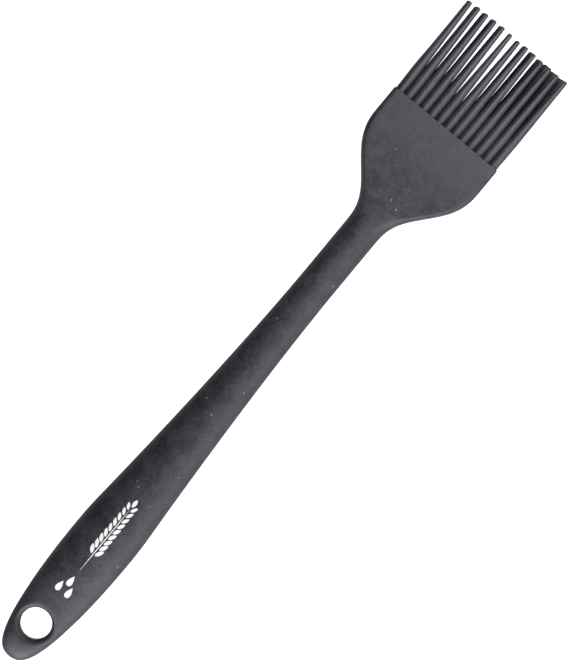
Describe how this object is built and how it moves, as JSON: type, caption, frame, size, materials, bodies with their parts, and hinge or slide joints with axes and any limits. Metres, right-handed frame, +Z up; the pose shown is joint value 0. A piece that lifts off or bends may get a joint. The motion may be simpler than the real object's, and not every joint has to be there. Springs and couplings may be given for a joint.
{
  "type": "pastry brush",
  "caption": "Flat silicone pastry brush: slim rounded handle with a hanging hole, wide flat head and rows of tapered flexible bristles.",
  "frame": {"origin": "on the surface the brush lies on, under the middle of its length and width", "axes": "+Y along the brush from the hanging hole to the bristle tips, +X across the head, +Z up out of the front of the head"},
  "size_m": [0.044, 0.265, 0.0145],
  "materials": {
    "jacket_silicone": "matt charcoal silicone, fine satin texture",
    "bristle_silicone": "charcoal silicone, slight sheen",
    "core_nylon": "natural glass-filled nylon, as moulded"
  },
  "bodies": {
    "handle_and_head": {"silicone_jacket": "jacket_silicone", "stiffening_core": "core_nylon", "bristle_base": "bristle_silicone"},
    "bristle_row_1": {"bristle_row1_01": "bristle_silicone", "bristle_row1_02": "bristle_silicone", "bristle_row1_03": "bristle_silicone", "bristle_row1_04": "bristle_silicone", "bristle_row1_05": "bristle_silicone", "bristle_row1_06": "bristle_silicone", "bristle_row1_07": "bristle_silicone", "bristle_row1_08": "bristle_silicone", "bristle_row1_09": "bristle_silicone", "bristle_row1_10": "bristle_silicone", "bristle_row1_11": "bristle_silicone", "bristle_row1_12": "bristle_silicone", "bristle_row1_13": "bristle_silicone"},
    "bristle_row_2": {"bristle_row2_01": "bristle_silicone", "bristle_row2_02": "bristle_silicone", "bristle_row2_03": "bristle_silicone", "bristle_row2_04": "bristle_silicone", "bristle_row2_05": "bristle_silicone", "bristle_row2_06": "bristle_silicone", "bristle_row2_07": "bristle_silicone", "bristle_row2_08": "bristle_silicone", "bristle_row2_09": "bristle_silicone", "bristle_row2_10": "bristle_silicone", "bristle_row2_11": "bristle_silicone", "bristle_row2_12": "bristle_silicone", "bristle_row2_13": "bristle_silicone"},
    "bristle_row_3": {"bristle_row3_01": "bristle_silicone", "bristle_row3_02": "bristle_silicone", "bristle_row3_03": "bristle_silicone", "bristle_row3_04": "bristle_silicone", "bristle_row3_05": "bristle_silicone", "bristle_row3_06": "bristle_silicone", "bristle_row3_07": "bristle_silicone", "bristle_row3_08": "bristle_silicone", "bristle_row3_09": "bristle_silicone", "bristle_row3_10": "bristle_silicone", "bristle_row3_11": "bristle_silicone", "bristle_row3_12": "bristle_silicone", "bristle_row3_13": "bristle_silicone"},
    "bristle_row_4": {"bristle_row4_01": "bristle_silicone", "bristle_row4_02": "bristle_silicone", "bristle_row4_03": "bristle_silicone", "bristle_row4_04": "bristle_silicone", "bristle_row4_05": "bristle_silicone", "bristle_row4_06": "bristle_silicone", "bristle_row4_07": "bristle_silicone", "bristle_row4_08": "bristle_silicone", "bristle_row4_09": "bristle_silicone", "bristle_row4_10": "bristle_silicone", "bristle_row4_11": "bristle_silicone", "bristle_row4_12": "bristle_silicone", "bristle_row4_13": "bristle_silicone"}
  },
  "joints": [
    {"name": "row_1_flex", "type": "hinge", "parent": "handle_and_head", "child": "bristle_row_1", "pos_m": [0, 0.0944, 0.01223], "axis": [1, 0, 0], "range_deg": [-25, 25], "stiffness_Nm_per_rad": 0.012},
    {"name": "row_2_flex", "type": "hinge", "parent": "handle_and_head", "child": "bristle_row_2", "pos_m": [0, 0.0944, 0.00892], "axis": [1, 0, 0], "range_deg": [-25, 25], "stiffness_Nm_per_rad": 0.012},
    {"name": "row_3_flex", "type": "hinge", "parent": "handle_and_head", "child": "bristle_row_3", "pos_m": [0, 0.0944, 0.00561], "axis": [1, 0, 0], "range_deg": [-25, 25], "stiffness_Nm_per_rad": 0.012},
    {"name": "row_4_flex", "type": "hinge", "parent": "handle_and_head", "child": "bristle_row_4", "pos_m": [0, 0.0944, 0.0023], "axis": [1, 0, 0], "range_deg": [-25, 25], "stiffness_Nm_per_rad": 0.012}
  ],
  "couplings": [
    {"joint": "row_2_flex", "follows": "row_1_flex", "ratio": 1},
    {"joint": "row_3_flex", "follows": "row_1_flex", "ratio": 1},
    {"joint": "row_4_flex", "follows": "row_1_flex", "ratio": 1}
  ]
}
